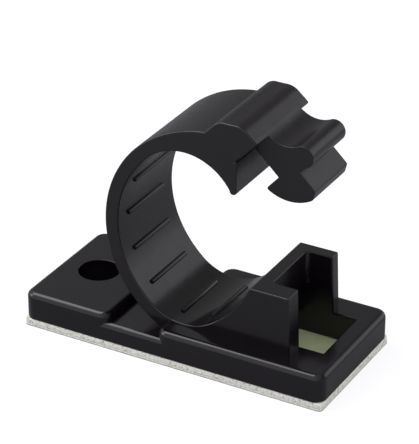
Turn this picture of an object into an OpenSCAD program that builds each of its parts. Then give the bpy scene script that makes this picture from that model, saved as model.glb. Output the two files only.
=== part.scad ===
// Adhesive cable clamp, moulded in one piece and shown open: a base plate with a screw hole, a ribbed cable
// seat, a sprung strap that ends in a latch hook, and a receiver with a catch ledge for the hook. The base
// stands on a foam tape pad with its release liner. Millimetres, +Z up, origin under the middle of the liner.
// +X runs from the screw hole to the receiver and the strap's front face looks to -Y.

/* [Base plate] */
// Length of the base plate along X
base_l = 36; // [34:0.5:42]
// Width of the base plate along Y
base_w = 16; // [14:0.5:22]
// Thickness of the base plate
base_t = 3.2; // [2.8:0.1:4]
// Radius of the upright corners
base_corner_r = 1.3; // [1:0.1:2]
// Radius of the rounded top edges
base_edge_r = 0.7; // [0.3:0.1:0.9]
// Length of the pad that holds the screw hole
pad_l = 10.6; // [9.5:0.1:10.8]
// Length of the recess between the pad and the seat block
recess_l = 5.8; // [5.2:0.1:6.4]
// Depth of the recess below the top of the base plate
recess_depth = 1.05; // [0.5:0.05:1.5]

/* [Screw hole] */
// Diameter of the screw hole, free for a 4 mm screw
screw_d = 4.6; // [3.2:0.1:5]
// Distance from the left end of the base plate to the hole's axis
screw_inset = 4.7; // [4:0.1:5.2]

/* [Tape and liner] */
// Thickness of the foam tape
tape_t = 0.7; // [0.5:0.05:1.2]
// Thickness of the release liner
liner_t = 0.12; // [0.08:0.01:0.2]
// Radius of the tape's and liner's corners
tape_corner_r = 0.5; // [0.2:0.1:1]

/* [Cable seat] */
// Distance from the middle of the base plate to the seat's axis
seat_x = 0.46; // [0.2:0.02:0.8]
// Height of the seat's lowest line above the top of the base plate
seat_rise = 0.18; // [0.1:0.02:0.5]
// Radius of the seat's floor
seat_r = 5.8; // [5.6:0.05:6]
// Radius of the seat's wall up to the receiver
wall_r = 12.4; // [12:0.1:13]
// Number of grip ribs on the strap's side
side_ribs = 4; // [1:1:4]
// Spacing of the ribs along the strap's side
side_rib_pitch = 4.17; // [3.6:0.01:4.3]
// Number of grip ribs on the seat's floor
seat_ribs = 2; // [1:1:2]
// Spacing of the ribs along the seat's floor
seat_rib_pitch = 3.75; // [3.4:0.01:4]
// Length of each rib along Y
rib_l = 7.2; // [4:0.1:10]
// Radius of the half-round ribs
rib_r = 0.28; // [0.2:0.01:0.4]

/* [Strap] */
// Width of the strap, seat and receiver along Y
strap_w = 11.4; // [10.6:0.1:13]
// Thickness of the strap
strap_t = 1.55; // [1.2:0.05:2]
// Inner radius of the strap's side
side_r = 11.44; // [11.2:0.02:11.8]
// Inner radius at the strap's tip
tip_r = 6.27; // [6.1:0.01:6.4]

/* [Strap tip] */
// Angle by which the tip is swung open from its latched place
open_angle = 46; // [43:1:49]
// Height of the tip's end corner above the axis of the tip arc
stop_rise = 7.48; // [7.3:0.02:7.6]
// Distance from the axis of the tip arc out to the end corner
stop_reach = 6.8; // [6.7:0.02:6.9]
// Distance along the stop face from its lower edge to the hook stem
stop_shelf = 1.05; // [0.9:0.05:1.2]
// Width of the stop face from the hook stem to the hump's corner
stop_w = 2.4; // [2.3:0.05:2.5]
// Distance from the axis of the tip arc to the tooth's back
tooth_reach = 6.14; // [6.1:0.01:6.2]
// Height at which the tooth's rounded end starts, above the axis of the tip arc
tooth_rise = 3.3; // [3.1:0.05:3.6]
// Height of the hump's flat top above the tip's end corner
hump_rise = 3.24; // [3:0.02:3.5]
// Radius of the hump's shoulder towards the strap
hump_foot_r = 1.5; // [0.8:0.1:1.8]
// Radius of the hump's shoulder towards the stop face
hump_end_r = 2; // [1:0.1:2.4]

/* [Latch hook] */
// Width of the hook along Y
hook_w = 7.3; // [5:0.1:7.5]
// Offset of the hook and its receiver pocket from the strap's middle
latch_y = 0.45; // [-0.6:0.05:0.6]
// Thickness of the hook's stem
stem_t = 2.5; // [2.3:0.05:2.7]
// Length of the stem from the stop face to the catch face
catch_drop = 3.96; // [3.8:0.02:4.1]
// Radius of the hook's nose
nose_r = 4.6; // [4.5:0.05:4.8]
// Distance from the stop face to the axis of the nose
nose_drop = 3.33; // [3.2:0.01:3.5]
// Radius of the release lip's rounded end
lip_r = 1.2; // [1:0.05:1.3]
// Distance from the stem's catch side to the axis of the lip's end
lip_reach = 3.95; // [3.8:0.05:4.1]
// Distance from the stop face to the axis of the lip's end
lip_drop = 3.8; // [3.7:0.05:3.9]

/* [Receiver] */
// Height of the receiver above the top of the base plate
receiver_h = 6.68; // [6.4:0.02:7]
// Thickness of the catch web at its top
web_t = 1.46; // [1.3:0.02:1.7]
// Length of the receiver's cheeks along X behind the web
cheek_l = 3; // [2.6:0.1:3.4]
// How much further out the cheeks' ends stand at the base plate than at their top
cheek_draft = 0.25; // [0:0.05:0.4]
// Clearance beside the hook on each side of the pocket
pocket_side_gap = 0.2; // [0.1:0.05:0.3]
// Radius of the pocket's upright corners at the web
pocket_corner_r = 0.5; // [0.2:0.05:0.6]
// Clearance under the catch ledge and beyond the toe
latch_gap = 0.2; // [0.05:0.05:0.3]
// Length of the window in the base plate past the cheeks
window_l = 3; // [2:0.1:3.4]

/* [Hidden] */
$fn = 96;
over = 1;
base_z = liner_t + tape_t;
top_z = base_z + base_t;
pad_x1 = pad_l - base_l / 2;
block_x0 = pad_x1 + recess_l;
screw_x = screw_inset - base_l / 2;
bridge_t = base_t - recess_depth;
// How far the recess floor runs on into the blocks, past their round corners
bridge_hold = 0.4;
bridge_run = base_corner_r + bridge_hold;
// Where the strap's and receiver's sides end inside the base plate
sink_z = base_z + bridge_t / 2;

// Arc centres of the strap's inside: each pair crosses by the lap at its join angle, so they run on smoothly
lap = 0.01;
seat_join_angle = 229;
wall_join_angle = 301.4;
tip_join_angle = 133.3;
seat_c = [seat_x, top_z + seat_rise + seat_r];
side_c = seat_c - (side_r - seat_r + lap) * ray(seat_join_angle);
tip_c = side_c + (side_r - tip_r + lap) * ray(tip_join_angle);
wall_c = seat_c - (wall_r - seat_r + lap) * ray(wall_join_angle);
outer_r = side_r + strap_t;
clear = outer_r + 2 * over;

// Strap tip: the stem's corner on the stop face is the origin of the hook's frame
stem_p = tip_c + [stop_reach, stop_rise];
tooth_x = tip_c[0] + tooth_reach;
tooth_z = tip_c[1] + tooth_rise;
tooth_r = (tooth_reach - sqrt(tip_r * tip_r - tooth_rise * tooth_rise)) / 2;
stop_p0 = stem_p - stop_shelf * ray(open_angle);
stop_p1 = stem_p + stop_w * ray(open_angle);

// Hump: a flat top between two rounded shoulders
hump_foot_angle = 94.9;
hump_foot_slope_angle = 45;
hump_end_slope_angle = 40;
hump_z = stem_p[1] + hump_rise;
hump_foot = side_c + outer_r * ray(hump_foot_angle);
hump_p0 = [hump_foot[0] + (hump_z - hump_foot[1]) / tan(hump_foot_slope_angle), hump_z];
hump_p1 = [stop_p1[0] - (hump_z - stop_p1[1]) / tan(hump_end_slope_angle), hump_z];
hump_run0 = hump_foot_r * tan(hump_foot_slope_angle / 2);
hump_run1 = hump_end_r * tan(hump_end_slope_angle / 2);

// Hook in its own frame: p across the stem away from the catch side, q from the stop face towards the hump
// How far the stem's root reaches into the strap tip
root_q = 0.25;
// Depth of the notch between the lip and the nose
notch_depth = 0.9;
notch_q = -lip_drop - notch_depth;
lip_c = [lip_reach, -lip_drop];
// Axis of the finger rest's hollow, outward from the lip's end and up from the stop face
finger_out = 1.48;
finger_rise = 0.2;
finger_c = [lip_reach + finger_out, finger_rise];
// The hollow crosses the lip's round end by the lap, and the lip's underside starts inside that end
finger_r = norm(finger_c - lip_c) - lip_r + lap;
lip_hold = 0.1;
lip_under = lip_c + (lip_r - lip_hold) * (lip_c - finger_c) / norm(lip_c - finger_c);
nose_c = [stem_t, -nose_drop];
toe_reach = sqrt(nose_r * nose_r - pow(catch_drop - nose_drop, 2)) - stem_t;
// How far the toe's tip is cut back, and the slanted cut across the nose's far end
toe_cut = 0.2;
nose_cut_q = -7.3;
nose_cut_slope = 0.55;

// Receiver
receiver_z = top_z + receiver_h;
web_x0 = wall_c[0] + sqrt(wall_r * wall_r - pow(receiver_z - wall_c[1], 2));
web_x1 = web_x0 + web_t;
cheek_x1 = web_x1 + cheek_l;
cheek_foot = cheek_draft * (receiver_z - sink_z) / receiver_h;
window_x1 = cheek_x1 + window_l;
ledge_z = receiver_z - catch_drop + latch_gap / 2;
ledge_x0 = web_x1 - toe_reach - latch_gap;
pocket_w = hook_w + 2 * pocket_side_gap;

first_side_rib_angle = 158;
first_seat_rib_angle = 258.5;

function ray(a) = [cos(a), sin(a)];
function arc_step(pitch, r) = pitch / r * 180 / PI;

// A quarter disc in the first quadrant
module quarter(r) {
    intersection() {
        circle(r);
        square(2 * r);
    }
}

module disc(p, r) {
    translate(p)
        circle(r);
}

// Stand an outline drawn in X and Z upright, w wide along Y
module across(w, y = 0) {
    translate([0, y, 0])
        rotate([90, 0, 0])
            linear_extrude(w, center = true)
                children();
}

// Section of a block's rim: depth d, height h, top outer edge rounded by r
module rim(d, h, r) {
    polygon([[0, 0], [d, 0], [d, h - r], [d - r, h - r], [d - r, h], [0, h]]);
    translate([d - r, h - r])
        quarter(r);
}

// A block from x0 to x1 with round upright corners and round top edges
module round_block(x0, x1, w, h) {
    r = base_corner_r;
    in_l = x1 - x0 - 2 * r;
    in_w = w - 2 * r;
    translate([(x0 + x1) / 2, 0, base_z]) {
        translate([-in_l / 2, -in_w / 2, 0])
            cube([in_l, in_w, h]);
        for (side = [0, 180])
            rotate(side) {
                translate([in_l / 2, 0, 0])
                    rotate([90, 0, 0])
                        linear_extrude(in_w, center = true)
                            rim(r, h, base_edge_r);
                translate([0, in_w / 2, 0])
                    rotate([90, 0, 90])
                        linear_extrude(in_l, center = true)
                            rim(r, h, base_edge_r);
                translate([in_l / 2, in_w / 2, 0])
                    rotate_extrude(angle = 90)
                        rim(r, h, base_edge_r);
                translate([-in_l / 2, in_w / 2, 0])
                    rotate(90)
                        rotate_extrude(angle = 90)
                            rim(r, h, base_edge_r);
            }
    }
}

// The lower floor of the recess, running on into the pad and the seat block
module bridge() {
    x0 = pad_x1 - bridge_run;
    x1 = block_x0 + bridge_run;
    in_w = base_w - 2 * base_corner_r;
    translate([(x0 + x1) / 2, 0, base_z]) {
        translate([(x0 - x1) / 2, -in_w / 2, 0])
            cube([x1 - x0, in_w, bridge_t]);
        for (side = [0, 180])
            rotate(side)
                translate([0, in_w / 2, 0])
                    rotate([90, 0, 90])
                        linear_extrude(x1 - x0, center = true)
                            rim(base_corner_r, bridge_t, base_edge_r);
    }
}

module base_plate() {
    round_block(-base_l / 2, pad_x1, base_w, base_t);
    round_block(block_x0, base_l / 2, base_w, base_t);
    bridge();
}

// The space inside the strap: its side, the tip, the seat's floor and the seat's wall
module cable_space() {
    intersection() {
        disc(side_c, side_r);
        polygon([
            side_c,
            side_c + clear * ray(tip_join_angle),
            side_c - [2 * clear, 0],
            side_c + clear * ray(seat_join_angle),
        ]);
    }
    disc(tip_c, tip_r);
    disc(seat_c, seat_r);
    intersection() {
        disc(wall_c, wall_r);
        polygon([
            seat_c,
            seat_c + clear * ray(wall_join_angle),
            [cheek_x1 + clear, seat_c[1]],
            [cheek_x1, receiver_z + over],
            [seat_c[0], receiver_z + over],
        ]);
    }
}

// The hump over the strap's tip, each shoulder's disc standing out by the lap
module hump() {
    polygon([
        hump_foot - over * ray(hump_foot_slope_angle),
        hump_p0 - hump_run0 * ray(hump_foot_slope_angle),
        hump_p0 + [hump_run0, 0],
        hump_p1 - [hump_run1, 0],
        hump_p1 + hump_run1 * ray(-hump_end_slope_angle),
        stop_p1 + over * ray(-hump_end_slope_angle),
        stem_p + [over, 0],
        [hump_foot[0], stem_p[1]],
    ]);
    disc(hump_p0 + [hump_run0, -hump_foot_r], hump_foot_r + lap);
    disc(hump_p1 - [hump_run1, hump_end_r], hump_end_r + lap);
}

// Strap, cable seat and receiver in one outline, as far as the tooth's rounded end
module strap_outline() {
    difference() {
        intersection() {
            union() {
                disc(side_c, outer_r);
                hump();
                translate([seat_c[0], sink_z - over])
                    square([cheek_x1 - seat_c[0] + over, receiver_z - sink_z + 2 * over]);
            }
            polygon([
                [tip_c[0], tooth_z],
                [tooth_x, tooth_z],
                [tooth_x, stop_p0[1]],
                stop_p0,
                stop_p1 + hump_rise * ray(open_angle),
                [stop_p1[0], hump_z + hump_rise],
                [-clear, hump_z + hump_rise],
                [-clear, sink_z],
                [cheek_x1 + cheek_foot, sink_z],
                [cheek_x1, receiver_z],
                [seat_c[0], receiver_z],
            ]);
        }
        cable_space();
    }
}

// Rounded end of the tooth
module tooth_end() {
    translate([tooth_x - tooth_r, tooth_z])
        intersection() {
            circle(tooth_r);
            translate([-tooth_r - over, -tooth_r - over])
                square([2 * (tooth_r + over), tooth_r + over]);
        }
}

// The hook's frame, swung open with the strap tip
module hook_frame() {
    translate(stem_p)
        rotate(open_angle)
            children();
}

// Stem out to the axis of the finger rest's hollow, then the release lip and the nose with its catch toe
module hook_outline() {
    polygon([
        [0, root_q],
        finger_c,
        lip_under,
        [stem_t, notch_q],
        [stem_t, -catch_drop],
        [0, -catch_drop],
    ]);
    disc(lip_c, lip_r);
    intersection() {
        disc(nose_c, nose_r);
        polygon([
            [toe_cut - toe_reach, -catch_drop],
            [stem_t, -catch_drop],
            [stem_t, nose_cut_q],
            [stem_t - 2 * nose_r, nose_cut_q - 2 * nose_r * nose_cut_slope],
            [toe_cut - toe_reach - nose_r, -catch_drop - nose_r],
        ]);
    }
}

// The hollow of the finger rest, which runs on into the hump's corner
module finger_hollow() {
    hook_frame()
        disc(finger_c, finger_r);
}

// Strap and hook, hollowed together by the finger rest
module strap() {
    difference() {
        union() {
            across(strap_w) strap_outline();
            across(hook_w, latch_y) hook_frame() hook_outline();
        }
        across(strap_w + 2 * over) finger_hollow();
    }
}

// Half-round grip ribs on the strap's side and in the seat
module ribs() {
    for (i = [0:side_ribs - 1])
        rib(side_c + side_r * ray(first_side_rib_angle + i * arc_step(side_rib_pitch, side_r)));
    for (i = [0:seat_ribs - 1])
        rib(seat_c + seat_r * ray(first_seat_rib_angle + i * arc_step(seat_rib_pitch, seat_r)));
}

module rib(p) {
    translate([p[0], 0, p[1]])
        rotate([90, 0, 0])
            cylinder(r = rib_r, h = rib_l, center = true);
}

// Plan of the pocket, with round corners at the web
module pocket_plan() {
    r = pocket_corner_r;
    translate([web_x1 + r, -pocket_w / 2])
        square([window_x1 - web_x1 - r, pocket_w]);
    translate([web_x1, r - pocket_w / 2])
        square([2 * r, pocket_w - 2 * r]);
    for (side = [-1, 1])
        disc([web_x1 + r, side * (pocket_w / 2 - r)], r);
}

// Pocket between the cheeks with its window through the base plate, and the undercut below the catch ledge
module latch_pocket() {
    translate([0, latch_y, base_z - over])
        linear_extrude(receiver_z - base_z + 2 * over)
            pocket_plan();
    across(pocket_w, latch_y)
        translate([ledge_x0, base_z - over])
            square([web_x1 + 2 * pocket_corner_r - ledge_x0, ledge_z - base_z + over]);
}

module screw_hole() {
    translate([screw_x, 0, base_z - over])
        cylinder(d = screw_d, h = base_t + 2 * over);
}

module clamp_body() {
    color([0.045, 0.045, 0.05])
        difference() {
            union() {
                base_plate();
                strap();
                across(strap_w) tooth_end();
                ribs();
            }
            latch_pocket();
            screw_hole();
        }
}

// A flat sheet with the outline of the tape
module sheet(z, t) {
    r = tape_corner_r;
    translate([0, 0, z]) {
        translate([-base_l / 2, -base_w / 2 + r, 0])
            cube([base_l, base_w - 2 * r, t]);
        translate([-base_l / 2 + r, -base_w / 2, 0])
            cube([base_l - 2 * r, base_w, t]);
        for (sx = [-1, 1], sy = [-1, 1])
            translate([sx * (base_l / 2 - r), sy * (base_w / 2 - r), 0])
                cylinder(r = r, h = t);
    }
}

module foam_tape() {
    color([0.9, 0.9, 0.87])
        sheet(liner_t, tape_t);
}

module release_liner() {
    color([0.93, 0.94, 0.94])
        sheet(0, liner_t);
}

clamp_body();
foam_tape();
release_liner();
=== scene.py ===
import math

import bmesh
import bpy
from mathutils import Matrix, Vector, noise


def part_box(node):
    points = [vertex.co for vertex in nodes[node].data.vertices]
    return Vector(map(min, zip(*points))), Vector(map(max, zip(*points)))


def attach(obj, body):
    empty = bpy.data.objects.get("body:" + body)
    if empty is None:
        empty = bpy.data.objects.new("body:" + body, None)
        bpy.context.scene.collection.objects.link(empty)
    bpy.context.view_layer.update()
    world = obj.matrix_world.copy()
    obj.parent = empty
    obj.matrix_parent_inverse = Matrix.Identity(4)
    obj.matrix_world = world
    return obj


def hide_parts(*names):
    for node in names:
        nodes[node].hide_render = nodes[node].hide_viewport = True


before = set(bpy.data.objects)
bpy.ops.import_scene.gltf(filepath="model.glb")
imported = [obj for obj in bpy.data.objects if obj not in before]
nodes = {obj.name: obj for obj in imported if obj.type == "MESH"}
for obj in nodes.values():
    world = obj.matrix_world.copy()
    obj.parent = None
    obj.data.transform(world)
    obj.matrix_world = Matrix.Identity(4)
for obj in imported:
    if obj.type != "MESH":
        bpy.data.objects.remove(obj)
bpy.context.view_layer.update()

scene = bpy.context.scene

MM = 0.001
WHITE = (1.0, 1.0, 1.0, 1.0)
UP = (0.0, 0.0, 1.0)
HOLE_AXIS = (-13.3 * MM, 0.0, 0.0)

# The part of a noise texture's range that its values mostly lie in
NOISE_SPAN = (0.3, 0.7)

# Sockets of a Mix node by number, because its number and colour sockets share their names
NUMBER_A = 2
NUMBER_B = 3
NUMBER_MIXED = 0
COLOUR_A = 6
COLOUR_B = 7
COLOUR_MIXED = 2


# Node helpers

def add(tree, kind, inputs=None, **settings):
    """Adds a node. Each input is an output to link or a constant to set."""
    node = tree.nodes.new(kind)
    for name, value in settings.items():
        setattr(node, name, value)
    for socket, value in (inputs or {}).items():
        if isinstance(value, bpy.types.NodeSocket):
            tree.links.new(value, node.inputs[socket])
        else:
            node.inputs[socket].default_value = value
    return node


def maths(tree, operation, *values):
    return add(tree, "ShaderNodeMath", dict(enumerate(values)), operation=operation).outputs["Value"]


def along(tree, vector, direction):
    """How far a vector reaches in a direction."""
    node = add(tree, "ShaderNodeVectorMath", {0: vector, 1: direction}, operation="DOT_PRODUCT")
    return node.outputs["Value"]


def from_hole(tree, place):
    """How far a place lies from the axis of the screw hole."""
    flat = add(tree, "ShaderNodeVectorMath", {0: place, 1: (1.0, 1.0, 0.0)}, operation="MULTIPLY")
    inputs = {0: flat.outputs["Vector"], 1: HOLE_AXIS}
    return add(tree, "ShaderNodeVectorMath", inputs, operation="DISTANCE").outputs["Value"]


def map_range(tree, value, source, target):
    inputs = {
        "Value": value,
        "From Min": source[0],
        "From Max": source[1],
        "To Min": target[0],
        "To Max": target[1],
    }
    return add(tree, "ShaderNodeMapRange", inputs).outputs["Result"]


def noise_tex(tree, coords, scale, detail=3.0, roughness=0.5):
    inputs = {"Vector": coords, "Scale": scale, "Detail": detail, "Roughness": roughness}
    return add(tree, "ShaderNodeTexNoise", inputs).outputs["Fac"]


def ramp(tree, fac, *stops):
    node = add(tree, "ShaderNodeValToRGB", {"Fac": fac})
    elements = node.color_ramp.elements
    while len(elements) < len(stops):
        elements.new(position=0.5)
    for element, (place, colour) in zip(elements, stops):
        element.position = place
        element.color = (*colour, 1.0)
    return node.outputs["Color"]


def mix_colours(tree, share, first, second):
    inputs = {"Factor": share, COLOUR_A: first, COLOUR_B: second}
    return add(tree, "ShaderNodeMix", inputs, data_type="RGBA").outputs[COLOUR_MIXED]


def bump(tree, height, distance, strength, normal=None):
    inputs = {"Height": height, "Distance": distance, "Strength": strength}
    if normal is not None:
        inputs["Normal"] = normal
    return add(tree, "ShaderNodeBump", inputs).outputs["Normal"]


def ray_kinds(tree):
    """Whether a ray is a reflection, and whether it comes from the camera, straight or through glass."""
    rays = add(tree, "ShaderNodeLightPath").outputs
    seen = maths(tree, "ADD", rays["Is Camera Ray"], rays["Is Transmission Ray"])
    return rays["Is Glossy Ray"], seen


def object_coords(tree):
    return add(tree, "ShaderNodeTexCoord").outputs["Object"]


def new_material(name):
    mat = bpy.data.materials.new(name)
    mat.use_nodes = True
    mat.node_tree.nodes.clear()
    return mat, mat.node_tree


def principled(tree, ior, colour, roughness, normal):
    inputs = {"IOR": ior, "Base Color": colour, "Roughness": roughness, "Normal": normal}
    shader = add(tree, "ShaderNodeBsdfPrincipled", inputs)
    add(tree, "ShaderNodeOutputMaterial", {"Surface": shader.outputs["BSDF"]})


# Black plastic: the base is polished, and the strap above it is duller

PLASTIC_DARK = (0.0029, 0.0016, 0.0033)
PLASTIC_LIGHT = (0.0050, 0.0030, 0.0057)
POLISH = (0.13, 0.20)
DULL_HEIGHT = (4.5 * MM, 10.0 * MM)
DULLER = 0.13


def black_plastic():
    mat, tree = new_material("black_plastic")
    coords = object_coords(tree)
    mottle = noise_tex(tree, coords, scale=240.0, detail=4.0, roughness=0.55)
    tint = ramp(tree, mottle, (0.30, PLASTIC_DARK), (0.70, PLASTIC_LIGHT))
    smears = noise_tex(tree, coords, scale=700.0, detail=5.0, roughness=0.6)
    polish = map_range(tree, smears, NOISE_SPAN, POLISH)
    height = add(tree, "ShaderNodeSeparateXYZ", {"Vector": coords}).outputs["Z"]
    dull = maths(tree, "ADD", polish, map_range(tree, height, DULL_HEIGHT, (0.0, DULLER)))
    waves = bump(tree, noise_tex(tree, coords, scale=260.0), distance=0.03 * MM, strength=0.7)
    grain = bump(tree, noise_tex(tree, coords, scale=6500.0), distance=0.004 * MM, strength=0.5, normal=waves)
    principled(tree, ior=1.5, colour=tint, roughness=dull, normal=grain)
    return mat


# Foam tape: white foam with open cells along the cut edge, and pale adhesive with painted shade under the
# screw hole

FOAM_SHADE = (0.36, 0.35, 0.30)
FOAM_BODY = (0.81, 0.80, 0.74)
FOAM_LIGHT = (0.91, 0.90, 0.87)
FILM_DARK = (0.50, 0.56, 0.33)
FILM_LIGHT = (0.61, 0.69, 0.43)
FILM_GLOSS = (0.35, 0.55)
HOLE_PAINTED_SHADE = (0.045, 0.042, 0.036, 1.0)
HOLE_SHADE_FADE = (2.4 * MM, 2.9 * MM)


def foam_edge():
    mat, tree = new_material("foam_edge")
    coords = object_coords(tree)
    specks = noise_tex(tree, coords, scale=4200.0, detail=4.0, roughness=0.7)
    tint = ramp(tree, specks, (0.34, FOAM_SHADE), (0.47, FOAM_BODY), (0.68, FOAM_LIGHT))
    cells = add(tree, "ShaderNodeTexVoronoi", {"Vector": coords, "Scale": 5200.0}).outputs["Distance"]
    pits = bump(tree, cells, distance=0.05 * MM, strength=0.6)
    principled(tree, ior=1.45, colour=tint, roughness=0.85, normal=pits)
    return mat


def adhesive_film():
    mat, tree = new_material("adhesive_film")
    coords = object_coords(tree)
    mottle = noise_tex(tree, coords, scale=420.0, detail=4.0, roughness=0.6)
    film = ramp(tree, mottle, (0.30, FILM_DARK), (0.70, FILM_LIGHT))
    # painted shade: the adhesive seen down the screw hole is darkened to near black, fading out past the
    # hole's rim
    clear = map_range(tree, from_hole(tree, coords), HOLE_SHADE_FADE, (0.0, 1.0))
    tint = mix_colours(tree, clear, HOLE_PAINTED_SHADE, film)
    gloss = map_range(tree, noise_tex(tree, coords, scale=900.0), NOISE_SPAN, FILM_GLOSS)
    ripples = bump(tree, noise_tex(tree, coords, scale=1500.0), distance=0.03 * MM, strength=0.5)
    principled(tree, ior=1.46, colour=tint, roughness=gloss, normal=ripples)
    return mat


# Release liner: white paper, with painted shade darkening its side faces

PAPER_DARK = (0.66, 0.67, 0.66)
PAPER_LIGHT = (0.84, 0.85, 0.84)
PAPER_GLOSS = (0.45, 0.65)
EDGE_SHADE_DARK = (0.22, 0.21, 0.18)
EDGE_SHADE_LIGHT = (0.50, 0.49, 0.45)


def liner_paper():
    mat, tree = new_material("liner_paper")
    coords = object_coords(tree)
    fibres = noise_tex(tree, coords, scale=1800.0, detail=6.0, roughness=0.7)
    face = ramp(tree, fibres, (0.30, PAPER_DARK), (0.65, PAPER_LIGHT))
    # painted shade: the liner's side faces along the tape's foot on the floor are darkened to stand for the
    # contact shadow there
    edge_shade_noise = noise_tex(tree, coords, scale=3200.0, detail=4.0, roughness=0.7)
    edge_shade = ramp(tree, edge_shade_noise, (0.35, EDGE_SHADE_DARK), (0.65, EDGE_SHADE_LIGHT))
    normal = add(tree, "ShaderNodeTexCoord").outputs["Normal"]
    flat = maths(tree, "ABSOLUTE", along(tree, normal, UP))
    tint = mix_colours(tree, flat, edge_shade, face)
    gloss = map_range(tree, noise_tex(tree, coords, scale=2500.0, detail=4.0), NOISE_SPAN, PAPER_GLOSS)
    tooth = bump(tree, noise_tex(tree, coords, scale=5000.0, detail=4.0), distance=0.01 * MM, strength=0.5)
    principled(tree, ior=1.45, colour=tint, roughness=gloss, normal=tooth)
    return mat


# Clamp and liner: the CAD shapes stay, and the clamp's outer edges get the small rounding of a moulding

EDGE_ROUND = 0.17 * MM
EDGE_STEPS = 4
WELD_REACH = 0.001 * MM
FLAT_ANGLE = math.radians(0.4)
SHADE_WEIGHT = 70

# Turns from face to face at which an edge counts as an edge, as an acute one and as a deep inner corner
EDGE_ANGLE = math.radians(32.0)
ACUTE_ANGLE = math.radians(105.0)
CREASE_ANGLE = math.radians(60.0)

# Shares of the full rounding: fine edges lie at acute or small faces, at the hole and on the hook's front
FINE_SHARE = 0.4
FOOT_SHARE = 0.5
SMALL_FACE = 1.0 * MM * MM
HOLE_REACH = 2.6 * MM
HOOK_LEFT = 7.2 * MM
HOOK_LOW = 18.0 * MM
HOOK_FRONT = -3.2 * MM
SKIN = 0.05 * MM


def dress(obj, mat):
    if not obj.material_slots:
        obj.data.materials.append(mat)
    for slot in obj.material_slots:
        slot.material = mat


def over(group, value, limit):
    inputs = {"A": value, "B": limit}
    node = add(group, "FunctionNodeCompare", inputs, data_type="FLOAT", operation="GREATER_THAN")
    return node.outputs["Result"]


def logic(group, operation, *flags):
    node = add(group, "FunctionNodeBooleanMath", dict(enumerate(flags)), operation=operation)
    return node.outputs["Boolean"]


def up_to(group, value, limit):
    return logic(group, "NOT", over(group, value, limit))


def between(group, value, low, high):
    return logic(group, "NIMPLY", over(group, value, low), over(group, value, high))


def store_on_edges(group, mesh, name, kind, value):
    inputs = {"Geometry": mesh, "Name": name, "Value": value}
    node = add(group, "GeometryNodeStoreNamedAttribute", inputs, data_type=kind, domain="EDGE")
    return node.outputs["Geometry"]


def edge_picker():
    """Rounds outer edges, fine ones and shallow inner ones less, and leaves deep inner corners sharp."""
    group = bpy.data.node_groups.new("pick_edges", "GeometryNodeTree")
    for way in ("INPUT", "OUTPUT"):
        group.interface.new_socket("Geometry", in_out=way, socket_type="NodeSocketGeometry")
    mesh = add(group, "NodeGroupInput").outputs["Geometry"]
    angle = add(group, "GeometryNodeInputMeshEdgeAngle").outputs["Signed Angle"]
    area = add(group, "GeometryNodeInputMeshFaceArea").outputs["Area"]
    place = add(group, "GeometryNodeInputPosition").outputs["Position"]
    at = add(group, "ShaderNodeSeparateXYZ", {"Vector": place}).outputs
    outer = over(group, angle, EDGE_ANGLE)
    foot = between(group, angle, -CREASE_ANGLE, -EDGE_ANGLE)
    crease = up_to(group, angle, -CREASE_ANGLE)
    hook = logic(group, "AND", over(group, at["X"], HOOK_LEFT), over(group, at["Z"], HOOK_LOW))
    front = between(group, at["Y"], HOOK_FRONT - SKIN, HOOK_FRONT + SKIN)
    fine = logic(group, "OR", over(group, angle, ACUTE_ANGLE), up_to(group, area, SMALL_FACE))
    fine = logic(group, "OR", fine, up_to(group, from_hole(group, place), HOLE_REACH))
    fine = logic(group, "OR", fine, logic(group, "AND", hook, front))
    fine = logic(group, "AND", outer, fine)
    weight = maths(group, "MULTIPLY_ADD", fine, FINE_SHARE - 1.0, outer)
    weight = maths(group, "MULTIPLY_ADD", foot, FOOT_SHARE, weight)
    mesh = store_on_edges(group, mesh, "bevel_weight_edge", "FLOAT", weight)
    mesh = store_on_edges(group, mesh, "sharp_edge", "BOOLEAN", crease)
    add(group, "NodeGroupOutput", {"Geometry": mesh})
    return group


def modify(obj, name, kind, **settings):
    modifier = obj.modifiers.new(name, kind)
    for key, value in settings.items():
        setattr(modifier, key, value)


def soften_edges(obj):
    modify(obj, "weld", "WELD", merge_threshold=WELD_REACH)
    modify(obj, "flat_faces", "DECIMATE", decimate_type="DISSOLVE", angle_limit=FLAT_ANGLE)
    modify(obj, "pick_edges", "NODES", node_group=edge_picker())
    rounding = {"width": EDGE_ROUND, "segments": EDGE_STEPS}
    modify(obj, "edges", "BEVEL", limit_method="WEIGHT", use_clamp_overlap=False, **rounding)
    modify(obj, "shade", "WEIGHTED_NORMAL", keep_sharp=True, weight=SHADE_WEIGHT)


dress(nodes["clamp_body"], black_plastic())
soften_edges(nodes["clamp_body"])
dress(nodes["release_liner"], liner_paper())


# Foam pad: die-cut, with open cells along its cut edge, and pinched a little at its two faces

PAD_CORNER = 0.5 * MM
PAD_STEP = 0.14 * MM
CORNER_STEPS = 6
QUARTER_TURN = 90.0
PAD_LEVELS = (0.0, 0.07, 0.18, 0.32, 0.46, 0.6, 0.74, 0.86, 0.95, 1.0)
PINCH = 0.06 * MM
PINCH_POWER = 3
WAVE_DEPTH = 0.035 * MM
WAVE_SCALE = 0.8
CELL_DEPTH = 0.045 * MM
CELL_SCALE = 3.1
CELL_SHIFT = Vector((7.0, 3.0, 1.0))
FILM_INSET = 0.45 * MM
FILM_SLOT = 1


def mesh_object(name, bm, *materials):
    mesh = bpy.data.meshes.new(name)
    bm.to_mesh(mesh)
    bm.free()
    for mat in materials:
        mesh.materials.append(mat)
    obj = bpy.data.objects.new(name, mesh)
    scene.collection.objects.link(obj)
    return obj


def on_corner(centre, degrees):
    """A point on a rounded corner of the pad, with the outward direction there."""
    out_x = math.cos(math.radians(degrees))
    out_y = math.sin(math.radians(degrees))
    return centre[0] + PAD_CORNER * out_x, centre[1] + PAD_CORNER * out_y, out_x, out_y


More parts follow.
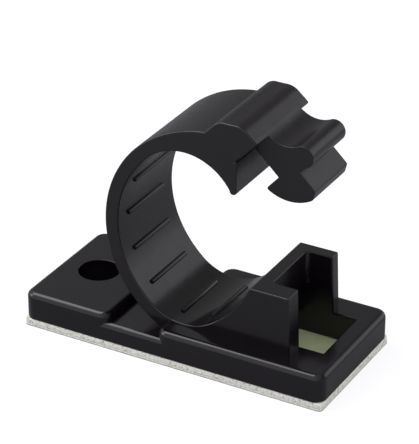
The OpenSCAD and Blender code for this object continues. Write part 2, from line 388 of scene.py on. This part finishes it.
def pad_outline(low, high):
    """Points round the pad, each with its outward direction: a corner, then the side that follows it."""
    left = low[0] + PAD_CORNER
    right = high[0] - PAD_CORNER
    front = low[1] + PAD_CORNER
    back = high[1] - PAD_CORNER
    corners = [(right, back), (left, back), (left, front), (right, front)]
    points = []
    for i, corner in enumerate(corners):
        start = QUARTER_TURN * i
        for k in range(CORNER_STEPS + 1):
            points.append(on_corner(corner, start + QUARTER_TURN * k / CORNER_STEPS))
        x, y, out_x, out_y = on_corner(corner, start + QUARTER_TURN)
        end_x, end_y, _, _ = on_corner(corners[(i + 1) % len(corners)], start + QUARTER_TURN)
        count = round(math.hypot(end_x - x, end_y - y) / PAD_STEP)
        for k in range(1, count):
            t = k / count
            points.append((x + (end_x - x) * t, y + (end_y - y) * t, out_x, out_y))
    return points


def edge_inset(place, level):
    """How far the cut edge lies inside the outline, with a wave along it and its open cells."""
    at = place / MM
    wave = 0.5 + 0.5 * noise.noise(at * WAVE_SCALE)
    cell = 0.5 + 0.5 * noise.noise(at * CELL_SCALE + CELL_SHIFT)
    pinch = PINCH * abs(2.0 * level - 1.0) ** PINCH_POWER
    return pinch + WAVE_DEPTH * wave + CELL_DEPTH * cell


def join_rings(bm, lower, upper, smooth):
    count = len(lower)
    for k in range(count):
        n = (k + 1) % count
        face = bm.faces.new((lower[k], lower[n], upper[n], upper[k]))
        face.smooth = smooth


def foam_pad():
    low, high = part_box("foam_tape")
    outline = pad_outline(low, high)
    bm = bmesh.new()
    rings = []
    for level in PAD_LEVELS:
        z = low[2] + (high[2] - low[2]) * level
        ring = []
        for x, y, out_x, out_y in outline:
            inset = edge_inset(Vector((x, y, z)), level)
            ring.append(bm.verts.new((x - out_x * inset, y - out_y * inset, z)))
        rings.append(ring)
    for lower, upper in zip(rings, rings[1:]):
        join_rings(bm, lower, upper, smooth=True)
    film = []
    for x, y, out_x, out_y in outline:
        film.append(bm.verts.new((x - out_x * FILM_INSET, y - out_y * FILM_INSET, high[2])))
    join_rings(bm, rings[-1], film, smooth=False)
    for loop in (film, rings[0][::-1]):
        bm.faces.new(loop).material_index = FILM_SLOT
    pad = mesh_object("foam_pad", bm, foam_edge(), adhesive_film())
    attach(pad, "root")
    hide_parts("foam_tape")


foam_pad()


# Floor: white to the camera, with the object's shadow kept on it, and darker to the back left in reflections

FLOOR_REACH = 3.0
FLOOR_CELLS = 8
FLOOR_WHITE = 0.80
FLOOR_DARK = (0.213, 0.213, 0.235)
FLOOR_LIGHT = (0.223, 0.223, 0.245)
SHEEN = (0.056, 0.17)
SHEEN_RISE = (0.018, 0.055)
SHEEN_FALL = (0.03, 0.11)
BACK_LEFT = (-0.707, 0.707, 0.0)


def floor_material():
    mat, tree = new_material("floor")
    glossy, seen = ray_kinds(tree)
    coords = object_coords(tree)
    # painted reflection: the floor glows for glossy rays only, dimmer within a few centimetres of the object
    # as painted shade, and dimmer to the back left
    reach = add(tree, "ShaderNodeVectorMath", {0: coords}, operation="LENGTH").outputs["Value"]
    rise = map_range(tree, reach, SHEEN_RISE, SHEEN)
    fall = map_range(tree, along(tree, coords, BACK_LEFT), SHEEN_FALL, (1.0, 0.0))
    sheen = maths(tree, "MULTIPLY", fall, rise)
    lift = maths(tree, "MULTIPLY_ADD", glossy, sheen, maths(tree, "MULTIPLY", seen, FLOOR_WHITE))
    glow = add(tree, "ShaderNodeEmission", {"Color": WHITE, "Strength": lift})
    paint = noise_tex(tree, coords, scale=30.0)
    tint = ramp(tree, paint, (0.30, FLOOR_DARK), (0.70, FLOOR_LIGHT))
    matt = add(tree, "ShaderNodeBsdfDiffuse", {"Color": tint})
    both = add(tree, "ShaderNodeAddShader", {0: glow.outputs["Emission"], 1: matt.outputs["BSDF"]})
    add(tree, "ShaderNodeOutputMaterial", {"Surface": both.outputs["Shader"]})
    return mat


floor_bm = bmesh.new()
bmesh.ops.create_grid(floor_bm, x_segments=FLOOR_CELLS, y_segments=FLOOR_CELLS, size=FLOOR_REACH)
floor = mesh_object("floor", floor_bm, floor_material())


# Studio: a grey surround, white where the camera sees it and darker in reflections, and three soft boxes

FILL_FROM = (0.62, -0.62, 0.48)
FILL_SPAN = (-0.3, 1.0)
FILL_LEVEL = (0.22, 1.3)
MIRRORED_FROM = (-0.45, -0.75, 0.48)
MIRRORED_SPAN = (-0.2, 0.9)
MIRRORED_LEVEL = (0.26, 0.95)
LAMP_TARGET = Vector((0.0, 0.0, 0.012))
COOL = (0.95, 0.93, 1.0)


def studio():
    world = bpy.data.worlds.new("studio")
    world.use_nodes = True
    tree = world.node_tree
    tree.nodes.clear()
    glossy, seen = ray_kinds(tree)
    direction = add(tree, "ShaderNodeTexCoord").outputs["Generated"]
    fill = map_range(tree, along(tree, direction, FILL_FROM), FILL_SPAN, FILL_LEVEL)
    mirrored = map_range(tree, along(tree, direction, MIRRORED_FROM), MIRRORED_SPAN, MIRRORED_LEVEL)
    inputs = {"Factor": glossy, NUMBER_A: fill, NUMBER_B: mirrored}
    level = add(tree, "ShaderNodeMix", inputs, data_type="FLOAT").outputs[NUMBER_MIXED]
    surround = add(tree, "ShaderNodeBackground", {"Color": WHITE, "Strength": level})
    white = add(tree, "ShaderNodeBackground", {"Color": WHITE})
    inputs = {0: seen, 1: surround.outputs["Background"], 2: white.outputs["Background"]}
    mixed = add(tree, "ShaderNodeMixShader", inputs)
    add(tree, "ShaderNodeOutputWorld", {"Surface": mixed.outputs["Shader"]})
    return world


def soft_box(name, place, size, watts, colour=WHITE[:3]):
    data = bpy.data.lights.new(name, "AREA")
    data.shape = "RECTANGLE"
    data.size = size[0]
    data.size_y = size[1]
    data.energy = watts
    data.color = colour
    lamp = bpy.data.objects.new(name, data)
    lamp.location = place
    lamp.rotation_euler = (LAMP_TARGET - Vector(place)).to_track_quat("-Z", "Y").to_euler()
    scene.collection.objects.link(lamp)


scene.world = studio()
soft_box("key", place=(-0.32, -0.02, 0.68), size=(0.50, 0.50), watts=2.6)
soft_box("back", place=(0.37, 0.575, 0.215), size=(0.60, 0.42), watts=0.70, colour=COOL)
soft_box("left", place=(-0.62, -0.257, 0.31), size=(0.34, 0.42), watts=1.15)


# Camera at the photo's place

PHOTO_HEIGHT = 444.0
FOCAL_PIXELS = 2361.0
SENSOR_WIDTH = 36.0
CLIP_START = 0.01
CAMERA_PLACE = (0.106898, -0.189713, 0.131775)
CAMERA_TILT = math.radians(90.0 - 28.5023)
CAMERA_TURN = math.radians(29.2830)

camera_data = bpy.data.cameras.new("camera")
camera_data.sensor_width = SENSOR_WIDTH
camera_data.lens = FOCAL_PIXELS * SENSOR_WIDTH / PHOTO_HEIGHT
camera_data.clip_start = CLIP_START
camera = bpy.data.objects.new("camera", camera_data)
camera.location = CAMERA_PLACE
camera.rotation_euler = (CAMERA_TILT, 0.0, CAMERA_TURN)
scene.collection.objects.link(camera)
scene.camera = camera
scene.view_settings.view_transform = "Standard"
